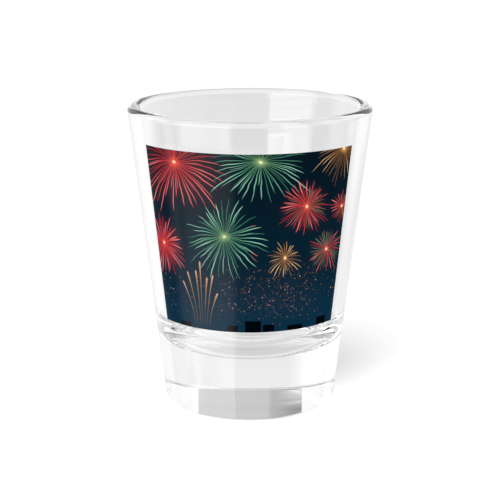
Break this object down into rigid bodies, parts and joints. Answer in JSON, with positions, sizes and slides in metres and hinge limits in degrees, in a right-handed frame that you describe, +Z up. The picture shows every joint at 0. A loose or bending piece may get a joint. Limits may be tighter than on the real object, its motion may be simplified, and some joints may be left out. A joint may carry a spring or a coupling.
{
  "type": "shot glass",
  "caption": "Small heavy-base drinking glass with straight tapering walls, a solid floor, a rounded rim and a printed fireworks picture panel wrapped round its front.",
  "frame": {"origin": "centre of the flat underside", "axes": "+Z up the axis of the glass to the rim; -Y faces the middle of the printed panel; +X to the right of a reader of the panel"},
  "size_m": [0.0482, 0.0482, 0.06],
  "materials": {
    "clear_glass": "clear, fire-polished",
    "white_ink": "opaque white, smooth",
    "picture_ink": null
  },
  "bodies": {
    "root": {"glass_body": "clear_glass", "white_ink_base": "white_ink", "colour_ink_layer": "picture_ink"}
  },
  "joints": []
}
